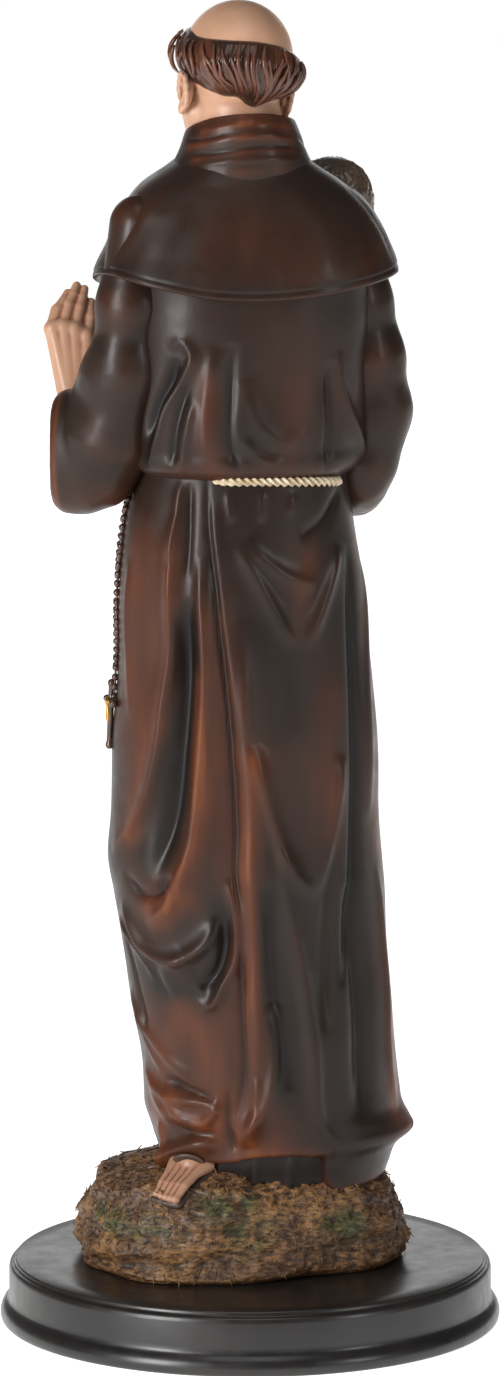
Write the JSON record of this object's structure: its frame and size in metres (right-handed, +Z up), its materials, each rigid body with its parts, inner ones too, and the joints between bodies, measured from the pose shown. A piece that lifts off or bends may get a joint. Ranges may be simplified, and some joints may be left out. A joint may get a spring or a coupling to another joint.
{
  "type": "religious figurine",
  "caption": "Standing robed friar carrying a child on one arm, on a rocky mound, fixed to a round turned black plinth; painted cast resin ornament",
  "frame": {"origin": "centre of the plinth's flat underside, at the bottom of the object", "axes": "+Z up, the saint faces -Y, the saint's left hand is at +X"},
  "size_m": [0.1154, 0.1154, 0.305],
  "materials": {
    "painted_resin": "satin",
    "satin_black": "satin"
  },
  "bodies": {
    "root": {"figure": "painted_resin", "plinth": "satin_black"}
  },
  "joints": []
}
